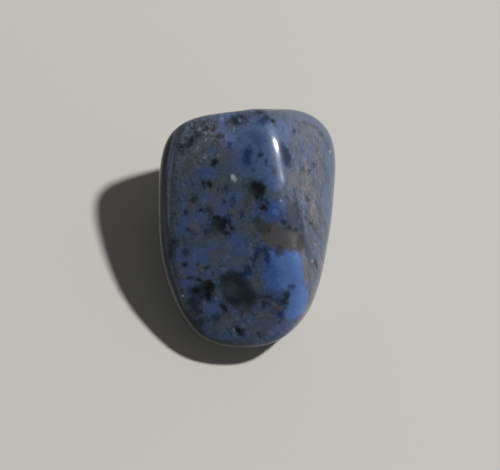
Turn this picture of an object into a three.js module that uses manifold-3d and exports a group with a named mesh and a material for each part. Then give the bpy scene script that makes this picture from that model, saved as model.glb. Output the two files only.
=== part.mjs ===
// A tumbled dumortierite pebble: one piece of polished blue stone, wedge shaped, thick at its far
// end and thin at its near end, with one steep facet on its right, resting on a small flat spot.
// Millimetres, +Z up. +X is the viewer's right and +Y points away from the viewer.
// The origin is on the table, under the middle of the stone's own length and width.

import * as THREE from 'three';
import { mergeVertices } from 'three/addons/utils/BufferGeometryUtils.js';
import Module from 'manifold-3d';

const wasm = await Module();
wasm.setup();

// The faces that wear has left on the stone, each given by the way it looks and by its distance in
// millimetres from the heart of the stone. Azimuth turns in degrees from +X towards +Y, and
// elevation is in degrees above the horizon.
const WORN_FACES = {
  top: { azimuth: 250, elevation: 71, distance: 3.7 },
  rightFacet: { azimuth: -6, elevation: 46, distance: 6.8 },
  rightSide: { azimuth: -6, elevation: -16, distance: 9.8 },
  farRight: { azimuth: 47, elevation: 12, distance: 23.0 },
  farEnd: { azimuth: 99, elevation: 8, distance: 14.1 },
  farLeft: { azimuth: 127, elevation: 6, distance: 15.4 },
  leftSide: { azimuth: 178, elevation: 0, distance: 10.5 },
  nearLeft: { azimuth: 212, elevation: 4, distance: 11.6 },
  nearEnd: { azimuth: 270, elevation: 10, distance: 14.2 },
  nearRight: { azimuth: 325, elevation: 2, distance: 11.3 },
  leftFoot: { azimuth: 180, elevation: -44, distance: 8.4 },
  farFoot: { azimuth: 90, elevation: -42, distance: 10.8 },
  nearFoot: { azimuth: 270, elevation: -58, distance: 9.3 },
  underside: { azimuth: 0, elevation: -90, distance: 5.2 },
};

// Broad swells and hollows that break up the worn faces: the way each one looks from the heart, how
// many degrees off it has mostly faded, and its height in millimetres, below zero for a hollow.
const SWELLS = {
  farRimDip: { azimuth: 82, elevation: 28, spread: 20, height: -0.5 },
  farLeftLump: { azimuth: 121, elevation: 26, spread: 16, height: 0.45 },
  farRightLump: { azimuth: 61, elevation: 14, spread: 16, height: 0.6 },
  rightFacetHollow: { azimuth: 345, elevation: 26, spread: 24, height: -0.25 },
  leftSideSwell: { azimuth: 195, elevation: -22, spread: 26, height: 0.3 },
  rightFootSwell: { azimuth: 20, elevation: -30, spread: 22, height: 0.35 },
  farFootHollow: { azimuth: 80, elevation: -22, spread: 19, height: -0.4 },
  nearFootHollow: { azimuth: 285, elevation: -25, spread: 19, height: -0.3 },
};

// The heart of the stone is this far above the table, in millimetres. It is a little less than the
// distance of the underside, so the table plane cuts off the flat spot that the stone rests on.
const HEART_HEIGHT = 5.0;

// The stone's back is arched along its length. Every height above the table grows by this share
// where the arch is highest, by nothing at its reach before and beyond that, and shrinks past it.
// The middle is measured along Y from the heart and the reach from the middle, in millimetres.
const ARCH_SHARE = 0.12;
const ARCH_MIDDLE = 3.0;
const ARCH_REACH = 14.0;

// How crisp the edges between worn faces are: 2 would melt them into one egg, 30 leaves them keen.
const EDGE_CRISPNESS = 8;

// Each edge of the starting icosahedron is cut this many times, which gives the fineness of the net.
const NET_DETAIL = 21;

// The net is drawn out to the stone's rough proportions, so that its triangles come out alike.
const NET_PROPORTIONS = new THREE.Vector3(1.0, 1.25, 0.75);

// A block under the table that trims the flat spot, in millimetres.
const TRIM_WIDTH = 60;
const TRIM_DEPTH = 20;

const STONE_COLOUR = 0x465168;
const STONE_ROUGHNESS = 0.15;

function unitVector({ azimuth, elevation }) {
  const turn = THREE.MathUtils.degToRad(azimuth);
  const rise = THREE.MathUtils.degToRad(elevation);
  return new THREE.Vector3(
    Math.cos(turn) * Math.cos(rise),
    Math.sin(turn) * Math.cos(rise),
    Math.sin(rise),
  );
}

const faces = Object.values(WORN_FACES).map((face) => ({
  normal: unitVector(face),
  distance: face.distance,
}));

const swells = Object.values(SWELLS).map((swell) => ({
  middle: unitVector(swell),
  spread: THREE.MathUtils.degToRad(swell.spread),
  height: swell.height,
}));

// The distance from the heart to the skin along one direction. A flat face alone would end the way
// at its distance over the cosine of the angle to it. The inverses of these lengths are added as
// high powers, so the nearest face rules and each edge is rounded, as tumbling rounds it. Each swell
// then adds its height, which fades with the square of the angle from its middle as a bell curve.
function skinDistance(direction) {
  let sum = 0;
  for (const face of faces) {
    const inverseLength = Math.max(0, direction.dot(face.normal)) / face.distance;
    sum += inverseLength ** EDGE_CRISPNESS;
  }
  let distance = sum ** (-1 / EDGE_CRISPNESS);
  for (const swell of swells) {
    const fading = direction.angleTo(swell.middle) / swell.spread;
    distance += swell.height * Math.exp(-(fading ** 2));
  }
  return distance;
}

// The arch as a parabola: the number that a height is multiplied by at a place along Y.
function archGrowth(y) {
  const fromMiddle = (y - ARCH_MIDDLE) / ARCH_REACH;
  return 1 + ARCH_SHARE * (1 - fromMiddle ** 2);
}

// The whole rounded stone before its flat spot is cut: a fine ball whose points are moved in or out
// to the skin along their own directions, and then up by the arch.
function roundedStone() {
  const geometry = new THREE.IcosahedronGeometry(1, NET_DETAIL);
  const position = geometry.attributes.position;
  const point = new THREE.Vector3();
  for (let i = 0; i < position.count; i += 1) {
    point.fromBufferAttribute(position, i).multiply(NET_PROPORTIONS).normalize();
    point.multiplyScalar(skinDistance(point));
    const height = (point.z + HEART_HEIGHT) * archGrowth(point.y);
    position.setXYZ(i, point.x, point.y, height);
  }
  return geometry;
}

function toSolid(geometry) {
  geometry.deleteAttribute('normal');
  geometry.deleteAttribute('uv');
  const merged = mergeVertices(geometry);
  return new wasm.Manifold(new wasm.Mesh({
    numProp: 3,
    vertProperties: merged.attributes.position.array,
    triVerts: new Uint32Array(merged.index.array),
  }));
}

function toGeometry(solid) {
  const mesh = solid.getMesh();
  const geometry = new THREE.BufferGeometry();
  geometry.setAttribute('position', new THREE.BufferAttribute(mesh.vertProperties, mesh.numProp));
  geometry.setIndex(new THREE.BufferAttribute(mesh.triVerts, 1));
  geometry.computeVertexNormals();
  return geometry;
}

// The stone with its flat spot cut by the table plane, moved so that its box is centred over the
// origin.
function stoneGeometry() {
  const block = new THREE.BoxGeometry(TRIM_WIDTH, TRIM_WIDTH, TRIM_DEPTH);
  block.translate(0, 0, -TRIM_DEPTH / 2);
  const geometry = toGeometry(toSolid(roundedStone()).subtract(toSolid(block)));
  geometry.computeBoundingBox();
  const middle = geometry.boundingBox.getCenter(new THREE.Vector3());
  geometry.translate(-middle.x, -middle.y, 0);
  return geometry;
}

const polishedStone = new THREE.MeshStandardMaterial({
  color: STONE_COLOUR,
  roughness: STONE_ROUGHNESS,
  metalness: 0,
});

const stone = new THREE.Mesh(stoneGeometry(), polishedStone);
stone.name = 'stone';

const pebble = new THREE.Group();
pebble.add(stone);

export default pebble;
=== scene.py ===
"""A tumbled and polished dumortierite pebble on a plain studio floor.

The file is laid out as a Blender add-on and run as a script. The stone's shape and its markings are
worked out in millimetres and put into the mesh in metres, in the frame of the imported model.
"""
import itertools
import math
from typing import NamedTuple

import bpy
import numpy as np
from bpy.props import FloatProperty, FloatVectorProperty, IntProperty, PointerProperty
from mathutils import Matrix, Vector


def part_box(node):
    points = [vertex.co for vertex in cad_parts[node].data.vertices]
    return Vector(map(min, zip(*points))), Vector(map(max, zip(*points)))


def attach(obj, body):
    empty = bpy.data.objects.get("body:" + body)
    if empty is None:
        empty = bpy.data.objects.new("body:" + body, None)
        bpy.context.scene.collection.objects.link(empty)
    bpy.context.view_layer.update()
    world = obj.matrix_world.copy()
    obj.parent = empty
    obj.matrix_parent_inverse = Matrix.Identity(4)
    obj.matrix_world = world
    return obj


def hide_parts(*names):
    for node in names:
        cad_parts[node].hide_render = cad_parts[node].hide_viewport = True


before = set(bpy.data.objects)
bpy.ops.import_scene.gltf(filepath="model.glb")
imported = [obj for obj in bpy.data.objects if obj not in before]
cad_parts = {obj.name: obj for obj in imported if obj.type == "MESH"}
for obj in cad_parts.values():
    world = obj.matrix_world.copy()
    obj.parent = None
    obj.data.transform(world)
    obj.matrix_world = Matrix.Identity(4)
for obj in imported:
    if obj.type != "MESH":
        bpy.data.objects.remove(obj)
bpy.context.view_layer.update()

bl_info = {
    "name": "Polished dumortierite pebble",
    "version": (1, 0, 0),
    "blender": (4, 5, 0),
    "location": "View3D > Sidebar > Pebble",
    "description": "Builds a tumbled dumortierite pebble with its layered, mottled polish",
    "category": "Add Mesh",
}

MM = 0.001


# The stone's shape, in millimetres and degrees, with the values of the solid part


class WornFace(NamedTuple):
    """A face that wear has left: where it looks, and its distance from the heart of the stone."""

    azimuth: float
    elevation: float
    distance: float


class Swell(NamedTuple):
    """A broad swell, or a hollow where the height is below zero, which fades over its spread."""

    azimuth: float
    elevation: float
    spread: float
    height: float


WORN_FACES = {
    "top": WornFace(250, 71, 3.7),
    "right_facet": WornFace(-6, 46, 6.8),
    "right_side": WornFace(-6, -16, 9.8),
    "far_right": WornFace(47, 12, 23.0),
    "far_end": WornFace(99, 8, 14.1),
    "far_left": WornFace(127, 6, 15.4),
    "left_side": WornFace(178, 0, 10.5),
    "near_left": WornFace(212, 4, 11.6),
    "near_end": WornFace(270, 10, 14.2),
    "near_right": WornFace(325, 2, 11.3),
    "left_foot": WornFace(180, -44, 8.4),
    "far_foot": WornFace(90, -42, 10.8),
    "near_foot": WornFace(270, -58, 9.3),
    "underside": WornFace(0, -90, 5.2),
}

SWELLS = {
    "far_rim_dip": Swell(82, 28, 20, -0.5),
    "far_left_lump": Swell(121, 26, 16, 0.45),
    "far_right_lump": Swell(61, 14, 16, 0.6),
    "right_facet_hollow": Swell(345, 26, 24, -0.25),
    "left_side_swell": Swell(195, -22, 26, 0.3),
    "right_foot_swell": Swell(20, -30, 22, 0.35),
    "far_foot_hollow": Swell(80, -22, 19, -0.4),
    "near_foot_hollow": Swell(285, -25, 19, -0.3),
}

HEART_HEIGHT = 5.0
EDGE_CRISPNESS = 8
ARCH_SHARE = 0.12
ARCH_MIDDLE = 3.0
ARCH_REACH = 14.0

# The grid's box has about the stone's own half sizes, so that its cells come out alike all over.
GRID_HALF_SIZES = np.array([10.0, 14.0, 6.0])

# Directions that go down less than this, or up, count as going down this much, so that the table cuts
# them off only far away.
LEAST_DESCENT = 1e-9

# Tumbling leaves long, very low ripples and a few open pits. They fade in over this height above the
# table, so that the flat spot stays flat.
RIPPLE_WAVES = 26
RIPPLE_LENGTHS = (2.2, 5.5)
PIT_RADII = (0.12, 0.34)
PIT_DEPTHS = (0.012, 0.04)
FLAT_SPOT_FADE = 0.4


# The photograph's size in pixels. The camera is aimed so that this pixel shows the point at this
# height, in millimetres, on the upright line through the stone's heart.
PHOTO_WIDTH = 500
PHOTO_HEIGHT = 470
AIM_PIXEL = (246.5, 233.0)
AIM_HEIGHT = 6.0


# The markings of the stone. Each is a lump inside it, which the skin cuts through: most are lumps of
# mineral, and the sheen haze, the glints and the shaded feet are partly painted light. They were
# placed kind by kind, where the photograph shows them.


class Mark(NamedTuple):
    """A lump seen at a pixel of the photograph, its size in millimetres and its turn in degrees.

    The squareness is the power that its outline is drawn with: 2 is oval and 6 nearly a rectangle.
    """

    seen: tuple
    wide: float
    tall: float
    turn: float = 0.0
    squareness: float = 2.0


# The values of each Mark, by kind and by name.
MARKS = {
    # Pale haze round the ridge's far half: partly pale blue under the polish, partly painted sheen of
    # the polish round the highlight on the ridge
    "haze": {
        "by_ridge": ((256, 145), 5.2, 6.6, 10),
        "by_ridge_low": ((268, 190), 2.6, 4.6, 8),
        "on_ridge": ((277.5, 152), 1.4, 7.0, 10),
    },
    # Grey clouds of quartz
    "grey": {
        "upper_left": ((190, 164), 2.2, 3.0, -10),
        "upper_left_b": ((217, 145), 1.5, 1.3),
        "left_a": ((207, 240), 2.4, 1.7, 10),
        "left_b": ((217, 255), 2.6, 1.6),
        "left_c": ((192, 226), 1.6, 1.5),
        "left_d": ((212, 201), 1.1, 1.8),
        "middle": ((240, 206), 2.0, 2.2),
        "middle_b": ((247, 229), 1.4, 1.4),
        "low": ((236, 263), 2.0, 1.6),
        "near": ((262, 328), 3.0, 1.5, 10),
        "near_b": ((223, 321), 2.0, 1.5),
        "in_mitten": ((228, 228), 0.5, 0.5),
        "far_rim": ((279, 113.5), 3.0, 1.3),
        "by_oval": ((271, 194.5), 2.0, 0.9, 5),
        "upper": ((228, 156), 2.6, 2.0),
        "by_cloud": ((256, 287), 0.9, 1.8, 20),
    },
    # Clouds of dumortierite blue
    "blue": {
        "by_ridge_left": ((268, 213), 1.6, 1.2),
        "upper_a": ((245, 165), 2.2, 1.8),
        "upper_b": ((258, 140), 1.6, 2.0, 20),
        "upper_c": ((208, 173), 1.5, 1.5),
        "upper_d": ((237, 166), 1.1, 1.9),
        "upper_e": ((213, 151.5), 0.7, 0.6),
        "left_a": ((202, 217), 1.0, 1.1),
        "left_b": ((184, 221), 1.0, 1.2),
        "left_c": ((182, 231), 1.3, 1.4),
        "left_d": ((200, 254), 1.7, 1.0, -20),
        "left_e": ((181, 255), 1.2, 1.3),
        "left_f": ((204, 261), 0.8, 1.4, 25),
        "left_g": ((206, 198), 1.0, 1.5, 35),
        "middle_a": ((221, 208), 1.6, 1.3),
        "middle_b": ((236, 197), 1.3, 1.8, -15),
        "middle_c": ((238, 240), 1.7, 1.5),
        "middle_d": ((242, 251.5), 1.7, 1.3, -20),
        "middle_e": ((212, 247), 1.0, 0.8),
        "low_a": ((189, 270), 1.2, 1.4, -25),
        "low_b": ((239, 270), 1.6, 1.0),
        "low_c": ((186, 285), 1.6, 1.2),
        "low_d": ((213, 311), 1.3, 1.8, 20),
        "near": ((222, 339), 3.0, 0.7, -8),
        "round_blade": ((247, 158), 1.8, 2.6),
    },
    # The great bright blue patch near the ridge's near end
    "azure": {
        "great_patch": ((284.5, 269), 4.4, 4.8, 0, 3.5),
        "great_patch_low": ((298, 296), 2.2, 5.2, 10, 3.0),
        "great_patch_foot": ((296, 312), 2.2, 2.0, 20),
    },
    # Purer blue, on the bright patch's left side and halfway up the ridge
    "deep": {
        "great_patch_dark": ((271.5, 276), 1.7, 4.2, 4),
        "by_ridge": ((274.5, 210.5), 1.4, 1.9),
    },
    # Greenish clouds
    "teal": {
        "arch": ((261, 260), 1.1, 1.7),
        "upper": ((225, 172), 1.6, 2.2),
        "middle": ((236, 180), 1.4, 1.8),
        "left": ((212, 235), 1.6, 1.0),
        "by_cloud": ((224.5, 299), 1.2, 1.3),
    },
    # Milky streaks and spots, most of them towards the far end
    "milky": {
        "over_ridge": ((284.5, 137), 0.9, 4.2, -8),
        "top_right": ((273, 127), 1.0, 2.4, 22),
        "head": ((229, 139), 1.4, 1.1, -15),
        "head_top": ((222, 128), 0.9, 2.0, 10),
        "rim": ((221, 115.5), 2.6, 0.5, 8),
        "cap": ((242, 124), 0.7, 0.5, 20),
        "by_ridge": ((279, 185), 1.2, 1.1),
        "top_streak": ((281, 127.5), 0.7, 2.0, -5),
        "in_deep": ((276, 211), 0.4, 0.5),
        "by_slab": ((283, 206.5), 0.25, 0.4),
    },
    # The flecked ground of the far left corner and the far rim
    "busy": {
        "corner": ((194, 137), 8.5, 6.0, 38, 2.5),
        "rim": ((228, 124), 6.5, 3.6, 5, 2.5),
    },
    # Blue grey layers along the outline of the pale side
    "steel": {
        "far_corner": ((303, 118), 4.4, 1.2, -14),
        "near_right": ((284, 327), 3.4, 1.1, 26),
        "edge": ((331, 163), 1.0, 7.0, 2),
        "edge_top": ((322, 133), 0.8, 3.4, 42),
        "edge_low": ((327, 208), 1.0, 5.0, -7),
    },
    # The brown grey patch and its outliers
    "brown": {
        "patch": ((274, 235), 3.2, 2.6, -10),
        "patch_middle": ((287, 241), 2.2, 2.2),
        "patch_right": ((298, 241), 1.3, 2.5, 8, 3.0),
        "rim": ((310, 305), 0.7, 2.6, -20),
        "low": ((302, 319), 1.6, 1.0, 30),
    },
    # Darker brown patches
    "umber": {
        # Along the near rim: partly brown of the stone, partly painted shade of the rim's underside
        "shaded_foot": ((225, 344), 6.0, 0.8, -8),
        "arm": ((259, 222), 1.7, 0.9, -35),
        "left": ((264, 229), 1.5, 1.6, 10),
        "in_patch": ((300, 242), 0.7, 1.5, 8),
        "notch": ((279, 251), 0.8, 1.0),
        "notch_right": ((297, 250), 0.7, 0.7),
        "in_strip": ((305.8, 276), 0.45, 0.6),
        "spot": ((213.5, 128), 0.6, 0.7),
        "top": ((218, 136), 0.75, 0.45, 10),
        "dot": ((255.5, 219.5), 0.4, 0.4),
    },
    # Light brown fibres beside the ridge
    "fawn": {
        "by_ridge": ((292, 180), 1.0, 1.9, 6),
        "strip": ((304.6, 267), 0.7, 3.8, 6),
    },
    # The grey slab to the right of the ridge
    "slab": {
        "slate_slab": ((292.5, 215.8), 1.35, 2.8, 5, 6.0),
    },
    # Olive grey shades beside dark spots
    "drab": {
        "below_oval": ((249, 202), 1.1, 1.0),
        "by_cloud": ((253.5, 291), 0.9, 1.5, 35),
        "by_oval": ((248.5, 184), 1.3, 1.1),
    },
    # Olive black clouds: the great one, the palm of the mitten shape, and along the near left rim one
    # that is partly painted shade
    "olive": {
        "shaded_foot": ((194, 331), 3.4, 1.1, -42),
        "great_cloud": ((236.6, 290), 3.0, 4.4, 35, 2.5),
        "mitten_palm": ((216.5, 226), 1.5, 1.5, -10),
    },
    # Soft dark clouds and spots
    "dusk": {
        "great_cloud_low": ((246.8, 297), 1.5, 2.2, 40),
        "great_cloud_top": ((238, 279), 1.9, 1.3, -5),
        "great_cloud_corner": ((251.5, 298), 1.2, 1.2, -30),
        "great_cloud_left": ((227.5, 281), 0.9, 0.9),
        "great_cloud_foot": ((238, 300.5), 2.0, 0.8, -5),
        "great_cloud_side": ((240.5, 284), 0.7, 1.8, 25),
        "left_cluster_veil": ((202, 292), 2.3, 1.9, 5),
        "left_cluster_low": ((194, 303), 1.2, 2.4, 8),
        "left_cluster_foot": ((197, 311), 0.9, 1.0),
        "rim_shade": ((187, 318), 0.8, 2.4, 36),
        "mitten_shade": ((218.5, 223), 1.3, 1.0, -20),
        "soft_spot_a": ((209.5, 211), 0.55, 0.8),
        "soft_spot_b": ((193, 200), 0.7, 0.7),
        "soft_spot_c": ((174, 242), 0.7, 1.0),
        "soft_spot_d": ((170.5, 252), 0.7, 1.1),
        "soft_spot_e": ((216, 318), 0.9, 0.9),
        "soft_spot_f": ((201, 321), 1.0, 0.8),
        "soft_spot_g": ((186, 253), 0.6, 0.6),
        "stroke_grey_a": ((198, 134), 0.5, 1.4, -32),
        "stroke_grey_b": ((190, 143), 0.6, 1.3, -35),
        "stroke_grey_c": ((181, 147), 0.7, 1.1, 30),
        "ragged_top": ((237, 122), 1.3, 1.2, 10),
        "ragged_top_arm": ((242, 119), 0.8, 0.5, -20),
        "oval_spot": ((257.5, 189), 1.75, 2.0, 20),
    },
    # Lighter parts of the dark clouds
    "smoke": {
        "cloud_light": ((230.5, 290), 1.3, 1.6, 35),
        "cloud_light_foot": ((243, 308), 1.6, 0.8, -25),
        "mitten_light": ((213.5, 230), 1.0, 0.8),
    },
    # Near black lumps, strokes and dots
    "dark": {
        "oval_spot_side": ((260.5, 190.5), 1.0, 1.35),
        "oval_spot_head": ((255.8, 185.3), 0.95, 1.0),
        "oval_spot_tail": ((257, 196), 0.55, 0.6),
        "below_oval": ((263.6, 207.5), 0.75, 0.8),
        "mitten_brow": ((217.5, 218.5), 0.9, 0.6, -10),
        "mitten_edge": ((222.3, 225.3), 0.65, 1.3, -5),
        "mitten_arm": ((225, 221), 1.35, 0.5, -24),
        "mitten_tip": ((232, 228), 0.4, 0.8, 36),
        "mitten_hook": ((226.5, 233), 0.8, 0.42, -8),
        "pair": ((209, 185), 0.75, 0.5, -35),
        "pair_twin": ((204, 182), 0.4, 0.45),
        "bead": ((214, 161), 0.6, 0.9, -25),
        "rim_dash": ((259.5, 112.8), 0.75, 0.32),
        "rim_thread": ((267.5, 117), 0.9, 0.28, -40),
        "rim_thread_low": ((272.5, 121), 0.5, 0.3, -60),
        "left_cluster_head": ((209, 286.5), 1.1, 1.3, -8),
        "left_cluster_side": ((196, 289.5), 1.1, 0.6, -12),
        "left_cluster_mid": ((208.5, 294.5), 0.8, 1.5, 18),
        "slant_low": ((224, 308.3), 0.5, 1.2, 42),
        "near_spot": ((238.5, 331), 0.75, 1.35, 48),
        "patch_stroke": ((287.3, 296.5), 0.4, 1.2, -14),
        "patch_stroke_foot": ((283.6, 302.8), 0.35, 0.45, -12),
        "slab_spot_left": ((289.7, 228), 0.5, 0.4),
        "slab_spot_right": ((295.5, 229), 0.6, 0.32),
        "vein_end": ((315.6, 264), 0.4, 0.8, 10),
        "facet_stroke_a": ((307.6, 198), 0.32, 0.5, 20),
        "facet_stroke_b": ((311, 224), 0.22, 1.2, 42),
        "dot_left_a": ((188, 229.5), 0.35, 0.35),
        "dot_left_b": ((185.6, 212.5), 0.4, 0.45),
        "dot_left_c": ((201.2, 210.7), 0.35, 0.3),
        "dot_low_a": ((207.3, 267.2), 0.55, 0.38, 30),
        "dot_low_b": ((185.6, 264), 0.42, 0.42, 30),
        "dot_low_c": ((190, 278.6), 0.4, 0.35),
        "dot_low_d": ((198.4, 279.3), 0.42, 0.35),
    },
    # Blue black lumps, strokes and dots
    "ink": {
        "ridge_ink": ((285.5, 157), 0.9, 1.7, 10),
        "ridge_ink_top": ((283.8, 151), 0.5, 1.2, 26),
        "arc_middle": ((266.8, 257), 0.5, 1.7, 4),
        "arc_middle_top": ((262.5, 249.3), 0.9, 0.5, -10),
        "arc_faint": ((256, 255.5), 0.45, 1.6, -14),
        "by_ridge": ((284.3, 186), 0.35, 0.7, 8),
        "over_cloud": ((246.8, 271.5), 0.85, 1.1),
        "ring_low_top": ((266, 297), 1.0, 0.35, 8),
        "ring_low_foot": ((265, 304.5), 0.7, 0.5, 20),
        "below_oval_ring": ((260.5, 203.5), 0.3, 0.8, -25),
        "below_oval_ring_right": ((266.5, 202.5), 0.4, 0.9, 12),
        "mitten_nub": ((229.8, 217.5), 0.3, 0.5),
        "middle": ((226, 187), 0.55, 0.8),
        "bead": ((261, 155), 0.45, 0.5),
        "speck_a": ((253.5, 170.5), 0.3, 0.35),
        "speck_b": ((267, 163), 0.25, 0.4, 20),
        "patch_thread": ((279.5, 301), 0.9, 0.2, -8),
        "slab_spot_link": ((284, 222.5), 0.5, 0.3, -30),
        "ridge_streak": ((286.5, 196.5), 0.3, 1.1, 14),
        "vein_upper": ((297.5, 206), 0.26, 1.6, 10),
        "vein_middle": ((301.3, 226), 0.32, 2.3, 10),
        "vein_low": ((304.7, 241.5), 0.28, 1.6, 14),
        "facet_dot_a": ((294, 132), 0.3, 0.32),
        "facet_dot_b": ((321, 134), 0.3, 0.3),
        "facet_dot_c": ((303, 169), 0.2, 0.32),
        "facet_dot_d": ((309.5, 170), 0.26, 0.22),
        "facet_dot_e": ((314, 165), 0.2, 0.28),
        "dot_left_d": ((206, 232), 0.35, 0.8, 30),
        "dot_middle_a": ((241.7, 216), 0.3, 0.5),
        "dot_middle_b": ((233, 200.5), 0.35, 0.7),
        "dot_middle_c": ((224, 201), 0.3, 0.3),
        "dot_near": ((258.2, 334.5), 0.4, 0.35),
    },
    # Deep blue blades and beads
    "navy": {
        "blade": ((247.5, 153), 0.7, 1.2, -15),
        "blade_low": ((246.5, 160), 0.7, 0.9, 20),
        "top": ((264, 121), 0.9, 0.8),
        "bead": ((229, 144), 0.45, 0.45),
        "bead_near": ((280.5, 315), 0.7, 0.75),
        "in_patch": ((291.7, 286.3), 0.4, 0.35, -30),
        "ridge_navy": ((285.8, 157.5), 0.9, 1.5, 8),
        "ridge_navy_top": ((282.8, 149.5), 0.7, 1.4, 18),
    },
    # Dark fibres of the pale side
    "fibre": {
        "low": ((310.5, 257), 0.7, 2.8, 6),
        "middle": ((307.3, 243), 0.55, 1.8, 14),
        "pool": ((309, 247), 0.6, 1.4, -10),
        "right": ((325, 224), 0.4, 1.3, 24),
        "right_low": ((327.3, 236), 0.35, 1.6, 10),
        "arc_thread_a": ((303, 122.5), 1.4, 0.3, -14),
        "arc_thread_b": ((313, 126), 1.2, 0.3, -24),
        "arc_thread_c": ((321, 134), 0.3, 1.3, 42),
        "arc_thread_d": ((327, 145), 0.28, 1.8, 22),
        "facet_thread_a": ((316, 150), 0.2, 2.0, 24),
        "facet_thread_b": ((318.5, 208), 0.35, 1.6, 24),
        "facet_thread_c": ((309, 214), 0.25, 1.6, 30),
        "facet_thread_d": ((315, 232), 0.3, 1.8, 38),
        "facet_thread_e": ((312, 255), 0.35, 1.5, 14),
    },
    # Iron stains
    "rust": {
        "a": ((274.8, 222), 0.3, 0.35),
        "b": ((255.2, 235.5), 0.22, 0.35),
        "low": ((276, 308), 0.75, 0.4, 22),
    },
    # Pale grey blue flecks
    "pearl": {
        "a": ((200, 129.5), 0.4, 0.4),
        "b": ((187, 128), 0.25, 0.45, -20),
        "c": ((206, 134), 0.25, 0.4, 20),
        "d": ((240.5, 120.3), 0.5, 0.32, -20),
        "e": ((221, 119.8), 0.45, 0.3),
        # A painted glint on the dark spot at the near end
        "near": ((233.8, 329.7), 0.2, 0.25),
    },
    # Painted glints of the polish, partly small white crystals
    "fleck": {
        "white_glint": ((233.5, 177.6), 0.5, 0.9, 38),
        "a": ((281.2, 200.2), 0.17, 0.26),
        "b": ((182.8, 295.8), 0.2, 0.2),
        "c": ((330, 152), 0.16, 0.24),
        "d": ((312.4, 260.8), 0.16, 0.2),
    },
}

# A lump goes this many times its longer side into the stone and out of it. A point that is far from
# every lump of a kind counts as this many millimetres outside them.
MARK_DEPTH = 3.0
OUTSIDE_A_MARK = -3.0

# How squarely a point of the skin faces the camera is one where it looks straight at it and below
# zero where it looks away. Marks of the photograph end at the first of these values, and the middles
# of hidden marks lie past the second.
SEEN_SIDE_ENDS = -0.2
HIDDEN_SIDE_STARTS = -0.05


class Bulge(NamedTuple):
    """A low bell-shaped bulge of the skin, or a hollow below zero, where a pixel shows it.

    Its width, its tallness and its height are in millimetres and its turn is in degrees.
    """

    seen: tuple
    wide: float
    tall: float
    turn: float
    height: float


# They blunt the ridge, crown it lengthwise and fill up the slope to its left, which keeps the
# highlight on it broad and short.
BULGES = {
    "blunted_ridge": Bulge((277, 146.5), 1.1, 5.5, 14, -0.14),
    "crowned_ridge": Bulge((275.5, 138.5), 2.0, 2.0, 14, 0.11),
    "filled_slope": Bulge((265, 156), 1.9, 3.2, 14, 0.08),
}


class HiddenMarks(NamedTuple):
    """Marks of one kind on the sides that the photograph doesn't show: how many, and their sizes."""

    count: int
    smallest: float
    largest: float


HIDDEN_MARKS = {
    "grey": HiddenMarks(16, 1.4, 4.0),
    "blue": HiddenMarks(26, 0.9, 3.6),
    "azure": HiddenMarks(5, 1.4, 4.0),
    "deep": HiddenMarks(8, 1.0, 3.4),
    "milky": HiddenMarks(9, 0.6, 2.2),
    "busy": HiddenMarks(4, 4.0, 8.0),
    "steel": HiddenMarks(6, 1.0, 3.0),
    "teal": HiddenMarks(10, 1.0, 3.0),
    "drab": HiddenMarks(6, 1.0, 2.6),
    "smoke": HiddenMarks(5, 0.8, 2.0),
    "ink": HiddenMarks(20, 0.4, 1.3),
    "umber": HiddenMarks(6, 0.8, 1.8),
    "brown": HiddenMarks(7, 1.0, 3.4),
    "slab": HiddenMarks(5, 1.0, 2.6),
    "olive": HiddenMarks(5, 1.6, 3.6),
    "dusk": HiddenMarks(26, 0.6, 2.2),
    "navy": HiddenMarks(16, 0.4, 1.1),
    "dark": HiddenMarks(26, 0.3, 1.5),
    "fibre": HiddenMarks(12, 0.3, 2.0),
    "rust": HiddenMarks(8, 0.25, 0.7),
    "pearl": HiddenMarks(10, 0.2, 0.5),
    "fleck": HiddenMarks(8, 0.15, 0.4),
}

# A hidden mark is between these times as tall as it is wide. A point that squarely faces the camera
# counts as this many millimetres further outside it, which keeps it off the side that is seen.
HIDDEN_TALLNESS = (0.5, 1.0)
HIDDEN_FADE = 8.0

# The layers of the pale side, on the right, run lengthwise, in millimetres. On the way to the viewer
# they make one slanting step to the right, and at the far end they bend with the outline, fully from
# the outer end of the span on. The side starts at one of them.
PALE_SIDE_START = 6.1
LAYER_STEP_HEIGHT = 1.3
LAYER_STEP_LENGTH = 2.6
LAYER_STEP_MIDDLE = -1.5
LAYER_BEND = 0.06
LAYER_BEND_START = 7.0
LAYER_BEND_SPAN = (4.0, 9.0)

# The banded side, on the left, follows the stone's outline there, which is bent as a parabola. Its
# darker ground and stripes are partly layers of the stone, partly painted shade and painted
# reflection.
BANDED_SIDE_START = -8.5
BANDED_SIDE_BEND = 0.0157
BANDED_SIDE_MIDDLE = 2.0


def unit_vector(azimuth, elevation):
    """The direction at an azimuth from +X towards +Y and an elevation above the horizon."""
    turn = math.radians(azimuth)
    rise = math.radians(elevation)
    return np.array([
        math.cos(turn) * math.cos(rise),
        math.sin(turn) * math.cos(rise),
        math.sin(rise),
    ])


def box_grid(cells):
    """Directions and four-cornered cells of a grid wrapped round a box and closed at its edges.

    Each side of the box is a grid of two parameters that run from minus one to one. A point of the
    grid is the box's half size times the place on the cube, divided by its own length.
    """
    steps = np.arange(cells + 1)
    first, second = (part.ravel() for part in np.meshgrid(steps, steps, indexing="ij"))
    corner = (np.arange(cells)[:, None] * (cells + 1) + np.arange(cells)).ravel()
    cell = np.stack([corner, corner + cells + 1, corner + cells + 2, corner + 1], axis=1)
    places = []
    faces = []
    for axis in range(3):
        for side in (0, cells):
            place = np.zeros((len(first), 3), int)
            place[:, axis] = side
            place[:, (axis + 1) % 3] = first
            place[:, (axis + 2) % 3] = second
            faces.append((cell if side else cell[:, ::-1]) + len(places) * len(first))
            places.append(place)
    lattice, merged = np.unique(np.concatenate(places), axis=0, return_inverse=True)
    directions = (lattice / cells * 2 - 1) * GRID_HALF_SIZES
    directions /= np.linalg.norm(directions, axis=1, keepdims=True)
    return directions, merged.ravel()[np.concatenate(faces)]


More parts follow.
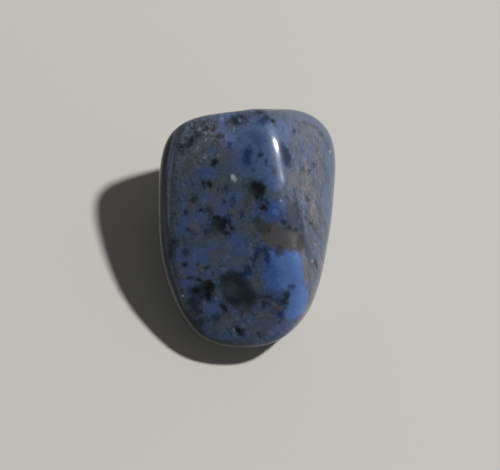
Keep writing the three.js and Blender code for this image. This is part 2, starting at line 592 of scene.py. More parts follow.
def skin_distance(directions):
    """The distance from the heart to the skin, along many directions at once.

    A flat face alone would end a direction at its distance over the cosine of the angle to it. The
    inverses of these lengths are added as high powers, so the nearest face rules and each edge is
    rounded. Each swell adds its height times a bell curve of the angle from its middle.
    """
    total = np.zeros(len(directions))
    for face in WORN_FACES.values():
        leaning = np.maximum(0, directions @ unit_vector(face.azimuth, face.elevation))
        total += (leaning / face.distance) ** EDGE_CRISPNESS
    distance = total ** (-1 / EDGE_CRISPNESS)
    for swell in SWELLS.values():
        cosine = np.clip(directions @ unit_vector(swell.azimuth, swell.elevation), -1, 1)
        distance += swell.height * np.exp(-(np.degrees(np.arccos(cosine)) / swell.spread) ** 2)
    return distance


def stone_surface(directions):
    """Points of the skin in millimetres: heart plus direction times distance, arched lengthwise.

    A direction that looks down ends on the table plane if it gets there first. The arch multiplies
    heights by one plus a share that falls off as a parabola along Y.
    """
    down = np.maximum(LEAST_DESCENT, -directions[:, 2])
    points = directions * np.minimum(skin_distance(directions), HEART_HEIGHT / down)[:, None]
    points[:, 2] += HEART_HEIGHT
    points[:, 2] *= 1 + ARCH_SHARE * (1 - ((points[:, 1] - ARCH_MIDDLE) / ARCH_REACH) ** 2)
    return points


def surface_normals(points, faces):
    """The outward normal at each point: the sum of its cells' crossed diagonals, made one long."""
    first, second, third, fourth = (points[faces[:, corner]] for corner in range(4))
    cell_normals = np.cross(third - first, fourth - second)
    normals = np.zeros_like(points)
    for corner in range(4):
        for axis in range(3):
            normals[:, axis] += np.bincount(
                faces[:, corner], cell_normals[:, axis], minlength=len(points)
            )
    return normals / np.linalg.norm(normals, axis=1, keepdims=True)


def polish_relief(points, shape):
    """How far the polished skin lies above or below the plain form, in millimetres.

    Ripples are a sum of sine waves that run in random directions. Each pit is a small bell curve
    of the distance from its middle, taken away. Both fade out towards the flat spot.
    """
    draws = np.random.default_rng(shape.seed)
    relief = np.zeros(len(points))
    for _ in range(RIPPLE_WAVES):
        heading = draws.normal(size=3)
        heading /= np.linalg.norm(heading)
        length = draws.uniform(*RIPPLE_LENGTHS)
        phase = draws.uniform(0, 2 * math.pi)
        relief += np.sin(points @ heading * (2 * math.pi / length) + phase)
    relief *= shape.ripple_height / MM / math.sqrt(RIPPLE_WAVES / 2)
    for middle in draws.choice(len(points), shape.pit_count):
        away = np.linalg.norm(points - points[middle], axis=1) / draws.uniform(*PIT_RADII)
        relief -= draws.uniform(*PIT_DEPTHS) * np.exp(-away ** 2)
    return relief * np.clip(points[:, 2] / FLAT_SPOT_FADE, 0, 1)


def camera_axes(elevation):
    """The camera's right, up and backward directions, for a camera that looks along +Y and down."""
    backward = np.array([0.0, -math.cos(elevation), math.sin(elevation)])
    right = np.array([1.0, 0.0, 0.0])
    return right, np.cross(backward, right), backward


def seen_points(points, aim, view):
    """Where each point, in millimetres, shows in the photograph, in pixels."""
    right, up, backward = camera_axes(view.elevation)
    distance = view.distance / MM
    offsets = points - aim
    nearness = distance / (distance - offsets @ backward)
    across = AIM_PIXEL[0] + view.pixels_per_mm * (offsets @ right) * nearness
    down = AIM_PIXEL[1] - view.pixels_per_mm * (offsets @ up) * nearness
    return np.stack([across, down], axis=1)


def lump_field(points, centre, axes, half_sizes, squareness=2.0):
    """How far inside a lump each point is, in millimetres, and below zero outside it.

    Steps from the centre along the lump's axes are divided by its half sizes, raised to the power of
    its squareness, added, and the same root is taken. The lump ends where that makes one.
    """
    steps = np.abs((points - centre) @ np.stack(axes, axis=1) / half_sizes)
    reach = (steps ** squareness).sum(axis=1) ** (1 / squareness)
    return (1 - reach) * min(half_sizes[:2])


def placed_axes(placed, view):
    """The directions across, along and towards the camera of something placed on the photograph."""
    right, up, backward = camera_axes(view.elevation)
    turn = math.radians(placed.turn)
    across = right * math.cos(turn) + up * math.sin(turn)
    along = up * math.cos(turn) - right * math.sin(turn)
    return across, along, backward


def shown_point(points, facing, pixels, seen):
    """The point of the stone that faces the camera and shows nearest to a pixel.

    Points that look away count as a whole picture's width further off.
    """
    misses = np.linalg.norm(pixels - seen, axis=1) + np.where(facing > 0, 0, PHOTO_WIDTH)
    return points[misses.argmin()]


def bulged(points, facing, pixels, view):
    """The height of all bulges at each point, in millimetres.

    Each is its height times a bell curve of the steps across and along it, over its sizes.
    """
    relief = np.zeros(len(points))
    for bulge in BULGES.values():
        offsets = points - shown_point(points, facing, pixels, bulge.seen)
        across, along, _ = placed_axes(bulge, view)
        fading = (offsets @ across / bulge.wide) ** 2 + (offsets @ along / bulge.tall) ** 2
        relief += np.where(facing > 0, bulge.height * np.exp(-fading), 0)
    return relief


def mark_fields(points, normals, facing, pixels, view, seed):
    """For each kind of mark, how far inside the nearest mark of that kind each point is."""
    fields = {kind: np.full(len(points), OUTSIDE_A_MARK) for kind in MARKS}
    for kind, marks in MARKS.items():
        for mark in (Mark(*values) for values in marks.values()):
            middle = shown_point(points, facing, pixels, mark.seen)
            deep = MARK_DEPTH * max(mark.wide, mark.tall)
            half_sizes = np.array([mark.wide, mark.tall, deep]) / 2
            field = lump_field(points, middle, placed_axes(mark, view), half_sizes, mark.squareness)
            field = np.where(facing > SEEN_SIDE_ENDS, field, OUTSIDE_A_MARK)
            fields[kind] = np.maximum(fields[kind], field)
    draws = np.random.default_rng(seed)
    hidden = np.flatnonzero(facing < HIDDEN_SIDE_STARTS)
    for kind, marks in HIDDEN_MARKS.items():
        for _ in range(marks.count):
            middle = draws.choice(hidden)
            outward = normals[middle]
            along = np.cross(outward, draws.normal(size=3))
            along /= np.linalg.norm(along)
            axes = (along, np.cross(outward, along), outward)
            wide = draws.uniform(marks.smallest, marks.largest)
            tall = wide * draws.uniform(*HIDDEN_TALLNESS)
            half_sizes = np.array([wide, tall, MARK_DEPTH * wide]) / 2
            field = lump_field(points, points[middle], axes, half_sizes)
            field -= HIDDEN_FADE * np.maximum(0, facing)
            fields[kind] = np.maximum(fields[kind], field)
    return fields


def layer_places(points):
    """Where each point lies across and along the stone's layers, in millimetres.

    On the right, across is x plus a smooth step of y, plus the far half of a parabola of y that comes
    in with x. On the left it is x minus a parabola of y. Along the layers a place is y and z as they
    are.
    """
    x, y, z = points.T
    step = LAYER_STEP_HEIGHT * np.tanh((y - LAYER_STEP_MIDDLE) / LAYER_STEP_LENGTH)
    outermost = np.clip(np.interp(x, LAYER_BEND_SPAN, (0, 1)), 0, 1)
    right = x + step + LAYER_BEND * np.maximum(0, y - LAYER_BEND_START) ** 2 * outermost
    left = x - BANDED_SIDE_BEND * (y - BANDED_SIDE_MIDDLE) ** 2
    return np.stack([np.where(x > 0, right, left), y, z], axis=1)


def linear_colour(hex_colour):
    """A colour given as sRGB hex, as the linear red, green, blue and alpha that shaders take.

    The numbers are those of the sRGB standard: a straight start, and a power of 2.4 above it.
    """
    shares = [int(hex_colour[start:start + 2], 16) / 255 for start in (1, 3, 5)]
    return tuple(
        share / 12.92 if share <= 0.04045 else ((share + 0.055) / 1.055) ** 2.4 for share in shares
    ) + (1.0,)


def add_node(tree, kind, inputs=None, **settings):
    """Adds a shader node with its settings, its fixed inputs and its links from other nodes."""
    node = tree.nodes.new("ShaderNode" + kind)
    for name, value in settings.items():
        setattr(node, name, value)
    for key, value in (inputs or {}).items():
        if isinstance(value, bpy.types.NodeSocket):
            tree.links.new(value, node.inputs[key])
        else:
            node.inputs[key].default_value = value
    return node


def colour_property(name, description, hex_colour):
    return FloatVectorProperty(
        name=name, description=description, default=linear_colour(hex_colour)[:3],
        subtype="COLOR", size=3, min=0.0, max=1.0,
    )


def empty_tree(owner):
    """Turns on the shader nodes of a material or a world, empties them and returns them."""
    owner.use_nodes = True
    owner.node_tree.nodes.clear()
    return owner.node_tree


class PebbleShape(bpy.types.PropertyGroup):
    """Sizes of the pebble's fine surface."""

    cells: IntProperty(
        name="Cells", description="Cells along each edge of the grid round the stone",
        default=128, min=16, max=128,
    )
    ripple_height: FloatProperty(
        name="Ripple height", description="Height of the low ripples that tumbling leaves",
        default=0.007 * MM, min=0.0, max=0.05 * MM, precision=6, unit="LENGTH",
    )
    pit_count: IntProperty(
        name="Pits", description="Number of small pits that the polish hasn't closed",
        default=70, min=0, max=400,
    )
    seed: IntProperty(
        name="Seed", description="Choice of the ripples, the pits and the hidden markings",
        default=7, min=0,
    )


class PebbleColours(bpy.types.PropertyGroup):
    """Colours of the minerals in the pebble and the gloss of its polish."""

    ground: colour_property("Ground", "Slate blue groundmass", "#3a475c")
    grey: colour_property("Grey", "Grey clouds", "#474c54")
    warm: colour_property("Warm grey", "Faintly brown clouds", "#4b4c50")
    blue: colour_property("Blue", "Dumortierite blue", "#3b4e73")
    royal: colour_property("Royal", "Purer blue", "#2f4a82")
    azure: colour_property("Azure", "Brighter, milky blue", "#4e6ea7")
    teal: colour_property("Teal", "Greenish slate", "#3d4b55")
    milky: colour_property("Milky", "Milky, faintly violet blue", "#586a90")
    # Painted only as the haze round the ridge: partly pale blue of the stone, partly painted sheen of
    # the polish
    sky: colour_property("Sky", "Pale blue quartz clouds", "#50709c")
    steel: colour_property("Steel", "Blue grey layers of the pale side", "#505e7b")
    dark: colour_property("Dark", "Near black inclusions", "#0b0e12")
    dusk: colour_property("Dusk", "Soft dark clouds", "#1b2027")
    olive: colour_property("Olive", "Olive black clouds", "#23292d")
    ink: colour_property("Ink", "Blue black inclusions", "#13263f")
    drab: colour_property("Drab", "Olive grey patches", "#383a3e")
    smoke: colour_property("Smoke", "Lighter clouds in the dark ones", "#343a40")
    navy: colour_property("Navy", "Deep blue needles", "#1a2c5a")
    umber: colour_property("Umber", "Dark brown patches", "#353230")
    brown: colour_property("Brown", "Brown grey patches", "#4c4a4b")
    fawn: colour_property("Fawn", "Light brown fibres", "#69676b")
    slab: colour_property("Slab", "Grey slabs", "#383d49")
    rust: colour_property("Rust", "Iron stains", "#4b3a34")
    fibre: colour_property("Fibre", "Dark fibres of the pale side", "#3a4254")
    busy: colour_property("Busy ground", "Ground of the flecked corner", "#575d68")
    # Darker ground of the left side: partly the stone's layers, partly painted shade and reflection
    banded: colour_property("Banded ground", "Ground of the banded side", "#3c414c")
    lilac: colour_property("Lilac", "Lilac grey bands", "#575b6b")
    pale: colour_property("Pale side", "Pale fibrous side", "#575e6b")
    pearl: colour_property("Pearl", "Pale grey blue flecks", "#7c8ea4")
    # The same white is painted for glints of the polish and for small white crystals
    fleck: colour_property("Fleck", "Small white crystals", "#a2a8b2")
    gloss_roughness: FloatProperty(
        name="Gloss roughness", description="Roughness of the polished skin",
        default=0.10, min=0.0, max=1.0, subtype="FACTOR",
    )


class PebbleStudio(bpy.types.PropertyGroup):
    """The camera, the light and the floor."""

    elevation: FloatProperty(
        name="Camera elevation", description="How far above the horizon the camera stands",
        default=math.radians(66), min=0.0, max=math.pi / 2, unit="ROTATION",
    )
    distance: FloatProperty(
        name="Camera distance", description="From the camera to the point that it is aimed at",
        default=420 * MM, min=50 * MM, unit="LENGTH",
    )
    pixels_per_mm: FloatProperty(
        name="Pixels per mm", description="Size of a millimetre in the picture, where it is aimed",
        default=8.6, min=1.0,
    )
    key_strength: FloatProperty(
        name="Key light", description="Light on a surface that squarely faces the key light",
        default=0.95, min=0.0,
    )
    key_width: FloatProperty(
        name="Key width", description="Diameter of the round key light",
        default=130 * MM, min=1 * MM, unit="LENGTH",
    )
    floor_colour: colour_property("Floor", "Pale plain floor", "#d2cfc9")


# Clouds of colour, painted one over the other from first to last


class Cloud(NamedTuple):
    """A cloud of colour: its grain in mm along X, Y and Z, and the noise values it fades in over.

    Its strength is the share that it covers at its fullest, and ragged is how much its noise is bent
    by itself.
    """

    colour: str
    grain: tuple
    starts: float
    full: float
    strength: float
    ragged: float


class Zone(NamedTuple):
    """A part of the stone with a ground colour and clouds of its own.

    Its edge names a value of the mesh, how many millimetres each point is inside it. In a layered zone
    the clouds follow the layers. Its edge is made ragged and soft like that of a coat of paint.
    """

    edge: str
    ground: str
    layered: bool
    ragged: float
    grain: float
    soft: float
    clouds: tuple


TOP_CLOUDS = (
    Cloud("grey", (2.6, 2.8, 2.6), 0.46, 0.58, 0.80, 0.3),
    Cloud("teal", (2.2, 2.4, 2.2), 0.50, 0.62, 0.70, 0.4),
    Cloud("blue", (1.7, 2.0, 1.7), 0.50, 0.62, 0.75, 0.5),
    Cloud("warm", (1.2, 1.4, 1.2), 0.54, 0.66, 0.70, 0.5),
    Cloud("blue", (0.8, 1.0, 0.8), 0.55, 0.66, 0.60, 0.5),
    Cloud("milky", (0.7, 0.8, 0.7), 0.58, 0.70, 0.40, 0.5),
    Cloud("dusk", (1.2, 1.3, 1.2), 0.60, 0.71, 0.60, 0.5),
    Cloud("dusk", (0.5, 0.6, 0.5), 0.58, 0.70, 0.60, 0.5),
    Cloud("navy", (0.8, 1.0, 0.8), 0.64, 0.73, 0.60, 0.5),
    Cloud("rust", (0.7, 0.7, 0.7), 0.70, 0.78, 0.25, 0.5),
)

BUSY_CLOUDS = (
    Cloud("warm", (1.6, 2.0, 1.6), 0.46, 0.58, 0.80, 0.5),
    Cloud("blue", (1.0, 1.2, 1.0), 0.55, 0.66, 0.40, 0.6),
    Cloud("ground", (0.5, 0.6, 0.5), 0.52, 0.63, 0.60, 0.6),
    Cloud("milky", (0.8, 1.0, 0.8), 0.57, 0.67, 0.50, 0.6),
    Cloud("dusk", (0.6, 1.0, 0.6), 0.55, 0.65, 0.75, 0.8),
    Cloud("pearl", (0.4, 0.5, 0.4), 0.57, 0.69, 0.50, 0.6),
    Cloud("fleck", (0.35, 0.4, 0.35), 0.67, 0.77, 0.40, 0.4),
)

# Stripes of the banded side: partly layers of the stone, partly painted reflection along the shaded
# left rim
BANDED_CLOUDS = (
    Cloud("lilac", (0.45, 9.0, 9.0), 0.46, 0.60, 0.90, 0.2),
    Cloud("dusk", (0.35, 8.0, 8.0), 0.54, 0.66, 0.55, 0.2),
    Cloud("warm", (0.7, 5.0, 5.0), 0.55, 0.68, 0.60, 0.4),
    Cloud("blue", (1.2, 1.6, 1.2), 0.58, 0.70, 0.55, 0.5),
)

PALE_CLOUDS = (
    Cloud("fawn", (1.1, 4.5, 4.0), 0.44, 0.58, 0.90, 0.6),
    Cloud("steel", (0.8, 3.5, 3.0), 0.46, 0.62, 0.90, 0.6),
    Cloud("fibre", (0.4, 2.4, 2.4), 0.54, 0.67, 0.65, 0.6),
    Cloud("fawn", (0.28, 1.8, 1.8), 0.53, 0.65, 0.75, 0.6),
    Cloud("steel", (0.24, 1.2, 1.2), 0.55, 0.67, 0.65, 0.6),
    Cloud("fibre", (0.22, 1.3, 1.3), 0.56, 0.67, 0.60, 0.6),
    Cloud("fibre", (0.4, 0.6, 0.5), 0.61, 0.73, 0.45, 0.6),
)

ZONES = (
    Zone("mark_busy", "busy", False, 1.8, 1.2, 0.8, BUSY_CLOUDS),
    Zone("banded_shaded_side", "banded", True, 0.5, 1.4, 0.5, BANDED_CLOUDS),
    Zone("pale_side", "pale", True, 1.2, 1.6, 0.6, PALE_CLOUDS),
)


class Paint(NamedTuple):
    """A coat over one kind of mark.

    It reaches some millimetres past the mark's edge, which noise of a given grain makes ragged, and
    fades over the soft width.
    """

    kind: str
    colour: str
    strength: float
    past: float
    ragged: float
    grain: float
    soft: float


# Painted one over the other from first to last. Deep blue and near black lumps get a wide, thin coat
# first, which stays as a halo round them.
PAINTS = (
    # Partly pale blue of the stone, partly painted sheen round the highlight on the ridge
    Paint("haze", "sky", 0.42, 0.3, 1.6, 0.5, 0.9),
    Paint("grey", "grey", 0.70, 0.1, 1.1, 0.8, 0.6),
    Paint("blue", "blue", 0.80, 0.1, 1.1, 0.7, 0.45),
    Paint("azure", "azure", 0.88, 0.05, 0.6, 0.9, 0.34),
    Paint("teal", "teal", 0.70, 0.10, 1.0, 0.8, 0.50),
    Paint("deep", "royal", 0.75, 0.15, 0.9, 1.0, 0.70),
    Paint("drab", "drab", 0.60, 0.05, 1.1, 0.6, 0.50),
    Paint("milky", "milky", 0.80, 0.05, 0.7, 0.6, 0.35),
    Paint("steel", "steel", 0.75, 0.05, 0.5, 0.6, 0.25),
    Paint("brown", "brown", 0.90, 0.05, 0.6, 0.6, 0.25),
    Paint("umber", "umber", 0.80, 0.05, 0.6, 0.5, 0.28),
    Paint("fawn", "fawn", 0.80, 0.05, 0.4, 0.6, 0.20),
    Paint("slab", "slab", 0.90, 0.00, 0.2, 0.5, 0.10),
    Paint("olive", "olive", 0.88, 0.10, 0.8, 0.9, 0.45),
    Paint("dusk", "dusk", 0.80, 0.10, 0.6, 0.5, 0.42),
    Paint("smoke", "smoke", 0.65, 0.05, 0.8, 0.7, 0.45),
    Paint("navy", "navy", 0.50, 0.15, 0.5, 0.4, 0.30),
    Paint("navy", "navy", 0.80, 0.00, 0.4, 0.35, 0.18),
    Paint("ink", "ink", 0.85, 0.08, 0.4, 0.4, 0.24),
    Paint("dark", "dusk", 0.75, 0.06, 0.5, 0.4, 0.24),
    Paint("dark", "dark", 0.85, -0.06, 0.45, 0.4, 0.24),
    Paint("fibre", "fibre", 0.70, 0.04, 0.3, 0.5, 0.16),
    Paint("rust", "rust", 0.62, 0.02, 0.3, 0.3, 0.16),
    Paint("pearl", "pearl", 0.65, 0.02, 0.30, 0.25, 0.16),
    # Painted glints of the polish, and small white crystals
    Paint("fleck", "fleck", 0.80, 0.00, 0.15, 0.25, 0.17),
)


class Mottling(NamedTuple):
    """Light and dark grain: its size in millimetres, and what it multiplies the colour by."""

    grain: float
    darkest: float
    lightest: float


GROUND_MOTTLINGS = (
    Mottling(0.9, 0.86, 1.14),
    Mottling(0.30, 0.82, 1.18),
)

# The marks have a smoother grain of their own, which goes over everything.
LAST_MOTTLINGS = (
    Mottling(1.2, 0.92, 1.08),
    Mottling(0.26, 0.90, 1.10),
)

# Noise is broken down to grains of this size, in millimetres, each step half as strong as the one
# before. Its values mostly lie in this span.
FINEST_GRAIN = 0.20
NOISE_ROUGHNESS = 0.5
NOISE_SPAN = (0.25, 0.75)

# The finest unevenness of the polish, in millimetres: its grain and its height. The steps of detail
# and the strength are the shader's own.
POLISH_GRAIN = 0.5
POLISH_HEIGHT = 0.01
POLISH_DETAIL = 3.0
POLISH_STRENGTH = 0.25

# The stone under the gloss scatters light from just inside it, so it is rougher and mirrors little.
# The gloss over it bends light as quartz does, and doesn't quite close.
STONE_ROUGHNESS = 0.38
STONE_MIRRORING = 0.12
GLOSS_COVER = 0.8
QUARTZ_IOR = 1.54


def polished_dumortierite(colours):
    """Dumortierite quartz, cut by tumbling in grit and finished with polish.

    The minerals give soft clouds of slate, blue and grey with near black lumps, and fibres on the
    pale side. The polish gives a clear gloss with small sharp highlights over a satin glow.
    """
    shades = {
        name: (*getattr(colours, name), 1.0)
        for name, prop in colours.bl_rna.properties.items() if prop.subtype == "COLOR"
    }
    material = bpy.data.materials.new("tumble_polished_dumortierite")
    tree = empty_tree(material)
    metres = add_node(tree, "TexCoord").outputs["Object"]

    def scaled(value, scale):
        return add_node(tree, "VectorMath", {0: value, "Scale": scale}, operation="SCALE").outputs[0]

    place = scaled(metres, 1 / MM)
    layers = add_node(tree, "Attribute", attribute_name="layers").outputs["Vector"]
    seeds = itertools.count(1)

    def noise_at(where, grain, ragged=0.0):
        scale = [1 / size for size in grain]
        mapped = add_node(tree, "Mapping", {"Vector": where, "Scale": scale})
        return add_node(tree, "TexNoise", {
            "Vector": mapped.outputs[0], "W": float(next(seeds)), "Scale": 1.0,
            "Detail": max(1.0, math.log2(min(grain) / FINEST_GRAIN)),
            "Roughness": NOISE_ROUGHNESS, "Distortion": ragged,
        }, noise_dimensions="4D").outputs[0]

    def faded(value, starts, full, strength, least=0.0):
        return add_node(tree, "MapRange", {
            "Value": value, "From Min": starts, "From Max": full, "To Min": least, "To Max": strength,
        }, interpolation_type="SMOOTHSTEP").outputs[0]

    def mixed(mask, under, over):
        return add_node(tree, "Mix", {
            0: mask, 6: under, 7: over,
        }, data_type="RGBA").outputs[2]

    def clouded(under, clouds, where):
        for cloud in clouds:
            noise = noise_at(where, cloud.grain, cloud.ragged)
            mask = faded(noise, cloud.starts, cloud.full, cloud.strength)
            under = mixed(mask, under, shades[cloud.colour])
        return under

    def edge_mask(attribute, strength, past, ragged, grain, soft):
        field = add_node(tree, "Attribute", attribute_name=attribute).outputs["Fac"]
        pushed = add_node(tree, "Math", {
            0: noise_at(place, (grain, grain, grain)), 1: ragged * 2, 2: field,
        }, operation="MULTIPLY_ADD").outputs[0]
        return faded(pushed, ragged - past - soft, ragged - past + soft, strength)

    def mottled(under, mottlings):
        for mottling in mottlings:
            noise = noise_at(place, (mottling.grain,) * 3)
            shade = faded(noise, *NOISE_SPAN, mottling.lightest, mottling.darkest)
            under = scaled(under, shade)
        return under

    colour = clouded(shades["ground"], TOP_CLOUDS, place)
    for zone in ZONES:
        own = clouded(shades[zone.ground], zone.clouds, layers if zone.layered else place)
        inside = edge_mask(zone.edge, 1.0, 0.0, zone.ragged, zone.grain, zone.soft)
        colour = mixed(inside, colour, own)
    colour = mottled(colour, GROUND_MOTTLINGS)
    for paint in PAINTS:
        colour = mixed(edge_mask("mark_" + paint.kind, *paint[2:]), colour, shades[paint.colour])
    colour = mottled(colour, LAST_MOTTLINGS)

    unevenness = add_node(tree, "TexNoise", {
        "Vector": place, "Scale": 1 / POLISH_GRAIN, "Detail": POLISH_DETAIL,
    })
    bump = add_node(tree, "Bump", {
        "Height": unevenness.outputs[0], "Strength": POLISH_STRENGTH, "Distance": POLISH_HEIGHT * MM,
    })
    skin = add_node(tree, "BsdfPrincipled", {
        "Base Color": colour, "Roughness": STONE_ROUGHNESS, "IOR": QUARTZ_IOR, "Metallic": 0.0,
        "Specular IOR Level": STONE_MIRRORING, "Coat Weight": GLOSS_COVER, "Coat IOR": QUARTZ_IOR,
        "Coat Roughness": colours.gloss_roughness, "Normal": bump.outputs[0],
    })
    add_node(tree, "OutputMaterial", {"Surface": skin.outputs[0]})
    return material


def mesh_object(name, points, faces):
    """A new mesh object at the origin from points in millimetres and four-cornered faces."""
    mesh = bpy.data.meshes.new(name)
    mesh.vertices.add(len(points))
    mesh.vertices.foreach_set("co", (points * MM).astype(np.float32).ravel())
    mesh.loops.add(faces.size)
    mesh.loops.foreach_set("vertex_index", faces.astype(np.int32).ravel())
    mesh.polygons.add(len(faces))
    mesh.polygons.foreach_set("loop_start", np.arange(0, faces.size, 4, dtype=np.int32))
    mesh.polygons.foreach_set("use_smooth", np.ones(len(faces), bool))
    mesh.update(calc_edges=True)
    mesh.validate()
    piece = bpy.data.objects.new(name, mesh)
    bpy.context.scene.collection.objects.link(piece)
    return piece


def store_values(mesh, values, kind, field):
    """Stores one value per point with a mesh for each name: numbers or vectors, as the kind says."""
    for name, value in values.items():
        attribute = mesh.attributes.new(name, kind, "POINT")
        attribute.data.foreach_set(field, value.astype(np.float32).ravel())


class PEBBLE_OT_stone(bpy.types.Operator):
    """Build the polished stone with its markings"""

    bl_idname = "pebble.stone"
    bl_label = "Build the stone"

    def execute(self, context):
        shape = context.scene.pebble_shape
        view = context.scene.pebble_studio
        low, high = (np.array(corner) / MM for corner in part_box("stone"))
        directions, faces = box_grid(shape.cells)
        points = stone_surface(directions)
        own_middle = (points.min(axis=0) + points.max(axis=0)) / 2
        shift = np.array([*((low + high) / 2 - own_middle)[:2], 0.0])
        normals = surface_normals(points, faces)
        aim = np.array([0.0, 0.0, AIM_HEIGHT])
        facing = normals @ camera_axes(view.elevation)[2]
        pixels = seen_points(points, aim, view)
        fields = mark_fields(points, normals, facing, pixels, view, shape.seed)
        layers = layer_places(points)
        relief = polish_relief(points, shape) + bulged(points, facing, pixels, view)
        piece = mesh_object("pebble", points + relief[:, None] * normals + shift, faces)
        insides = {"mark_" + kind: field for kind, field in fields.items()}
        insides["pale_side"] = layers[:, 0] - PALE_SIDE_START
        insides["banded_shaded_side"] = BANDED_SIDE_START - layers[:, 0]
        store_values(piece.data, insides, "FLOAT", "value")
        store_values(piece.data, {"layers": layers}, "FLOAT_VECTOR", "vector")
        piece.data.materials.append(polished_dumortierite(context.scene.pebble_colours))
        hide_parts("stone")
        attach(piece, "root")
        context.scene["pebble_aim"] = list((aim + shift) * MM)
        return {"FINISHED"}


# The floor, in millimetres. It lies just below the flat spot, so that the two don't share a plane.
FLOOR_HALF_WIDTH = 1500.0
FLOOR_HEIGHT = -0.02
PAINT_ROUGHNESS = 0.9
PAINT_MIRRORING = 0.1

# The key light's direction from the stone, and its distance in metres.
KEY_DIRECTION = np.array([0.60, 0.18, 0.78])
KEY_DISTANCE = 1.5

# The soft light of the surroundings, brightest at the horizon on the side of the key light. From the
# horizon up it fades to a share of that, which it reaches at this height on a globe of radius one.
BRIGHT_SIDE = np.array([0.85, 0.53, 0.0])
BRIGHT_SIDE_LIGHT = 0.52
DARK_SIDE_LIGHT = 0.13
ZENITH_SHARE = 0.15
ZENITH_HEIGHT = 0.85

WHITE = (1.0, 1.0, 1.0, 1.0)

# The camera shows nothing that is nearer to it than this, in metres.
NEAREST_SEEN = 10 * MM


def matte_floor(colour):
    """Board with rolled matte paint, which gives a plain pale ground with hardly any reflection."""
    material = bpy.data.materials.new("rolled_matte_paint")
    tree = empty_tree(material)
    skin = add_node(tree, "BsdfPrincipled", {
        "Base Color": (*colour, 1.0), "Roughness": PAINT_ROUGHNESS,
        "Specular IOR Level": PAINT_MIRRORING,
    })
    add_node(tree, "OutputMaterial", {"Surface": skin.outputs[0]})
    return material


def floor_board(studio):
    """A wide square board just below the stone."""
    signs = ((-1, -1), (1, -1), (1, 1), (-1, 1))
    corners = np.array([
        [x * FLOOR_HALF_WIDTH, y * FLOOR_HALF_WIDTH, FLOOR_HEIGHT] for x, y in signs
    ])
    floor = mesh_object("floor", corners, np.array([[0, 1, 2, 3]]))
    floor.data.materials.append(matte_floor(studio.floor_colour))
    return floor


def key_light(studio):
    """A small round light that looks at the stone, as strong as its distance calls for.

    A white surface that squarely faces it gets as bright as its power over the squares of pi and of
    its distance.
    """
    key_data = bpy.data.lights.new("key", "AREA")
    key_data.shape = "DISK"
    key_data.size = studio.key_width
    key_data.energy = studio.key_strength * math.pi ** 2 * KEY_DISTANCE ** 2
    key = bpy.data.objects.new("key", key_data)
    key.location = KEY_DIRECTION / np.linalg.norm(KEY_DIRECTION) * KEY_DISTANCE
    key.rotation_euler = key.location.to_track_quat("Z", "Y").to_euler()
    return key


def soft_surroundings():
    """A studio's white walls: brighter on one side, and darker overhead."""
    world = bpy.data.worlds.new("studio")
    tree = empty_tree(world)
    sky = add_node(tree, "TexCoord").outputs["Generated"]
    parts = add_node(tree, "SeparateXYZ", {0: sky})
    towards_light = add_node(tree, "VectorMath", {
        0: sky, 1: BRIGHT_SIDE,
    }, operation="DOT_PRODUCT")
    horizon = add_node(tree, "MapRange", {
        "Value": towards_light.outputs["Value"], "From Min": -1.0, "From Max": 1.0,
        "To Min": DARK_SIDE_LIGHT, "To Max": BRIGHT_SIDE_LIGHT,
    })
    height = add_node(tree, "MapRange", {
        "Value": parts.outputs["Z"], "From Min": 0.0, "From Max": ZENITH_HEIGHT,
        "To Min": 1.0, "To Max": ZENITH_SHARE,
    }, interpolation_type="SMOOTHSTEP")
    brightness = add_node(tree, "Math", {
        0: horizon.outputs[0], 1: height.outputs[0],
    }, operation="MULTIPLY")
    glow = add_node(tree, "Background", {0: WHITE, 1: brightness.outputs[0]})
    add_node(tree, "OutputWorld", {0: glow.outputs[0]})
    return world


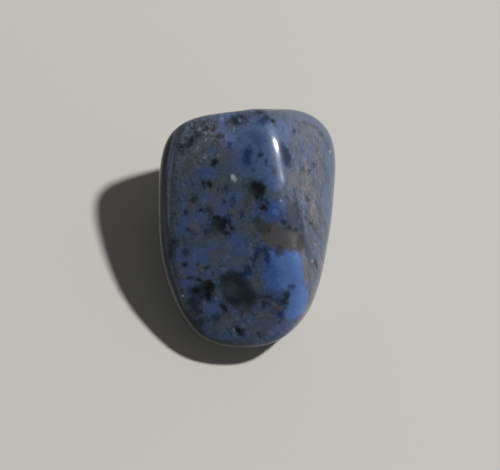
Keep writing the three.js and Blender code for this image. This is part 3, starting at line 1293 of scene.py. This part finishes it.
def photo_camera(studio, aim):
    """A camera that shows the aim at its pixel, from the photograph's angle and at its size."""
    right, up, backward = camera_axes(studio.elevation)
    camera_data = bpy.data.cameras.new("camera")
    widths_per_mm = studio.pixels_per_mm / PHOTO_WIDTH
    camera_data.lens = widths_per_mm * studio.distance / MM * camera_data.sensor_width
    camera_data.clip_start = NEAREST_SEEN
    camera = bpy.data.objects.new("camera", camera_data)
    aside = (PHOTO_WIDTH / 2 - AIM_PIXEL[0]) / studio.pixels_per_mm * MM
    below = (PHOTO_HEIGHT / 2 - AIM_PIXEL[1]) / studio.pixels_per_mm * MM
    camera.location = aim + right * aside - up * below + backward * studio.distance
    camera.rotation_euler = (math.pi / 2 - studio.elevation, 0.0, 0.0)
    return camera


class PEBBLE_OT_studio(bpy.types.Operator):
    """Set up the floor, the light and the camera"""

    bl_idname = "pebble.studio"
    bl_label = "Set up the studio"

    def execute(self, context):
        scene = context.scene
        studio = scene.pebble_studio
        floor = floor_board(studio)
        camera = photo_camera(studio, np.array(scene["pebble_aim"]))
        for item in (key_light(studio), camera):
            scene.collection.objects.link(item)
        scene.world = soft_surroundings()
        scene.camera = camera
        scene.view_settings.view_transform = "Standard"
        return {"FINISHED"}


class PEBBLE_PT_panel(bpy.types.Panel):
    """The pebble's settings in the sidebar of the 3D view"""

    bl_idname = "PEBBLE_PT_panel"
    bl_label = "Pebble"
    bl_space_type = "VIEW_3D"
    bl_region_type = "UI"
    bl_category = "Pebble"

    def draw(self, context):
        scene = context.scene
        for group in (scene.pebble_shape, scene.pebble_colours, scene.pebble_studio):
            box = self.layout.box()
            for name in group.bl_rna.properties.keys():
                if name not in ("rna_type", "name"):
                    box.prop(group, name)
        for operator in OPERATORS:
            self.layout.operator(operator.bl_idname)


OPERATORS = (PEBBLE_OT_stone, PEBBLE_OT_studio)
CLASSES = (PebbleShape, PebbleColours, PebbleStudio, *OPERATORS, PEBBLE_PT_panel)


def register():
    for cls in CLASSES:
        bpy.utils.register_class(cls)
    bpy.types.Scene.pebble_shape = PointerProperty(type=PebbleShape)
    bpy.types.Scene.pebble_colours = PointerProperty(type=PebbleColours)
    bpy.types.Scene.pebble_studio = PointerProperty(type=PebbleStudio)


def unregister():
    del bpy.types.Scene.pebble_shape
    del bpy.types.Scene.pebble_colours
    del bpy.types.Scene.pebble_studio
    for cls in reversed(CLASSES):
        bpy.utils.unregister_class(cls)


def main():
    register()
    bpy.ops.pebble.stone()
    bpy.ops.pebble.studio()


if __name__ == "__main__":
    main()
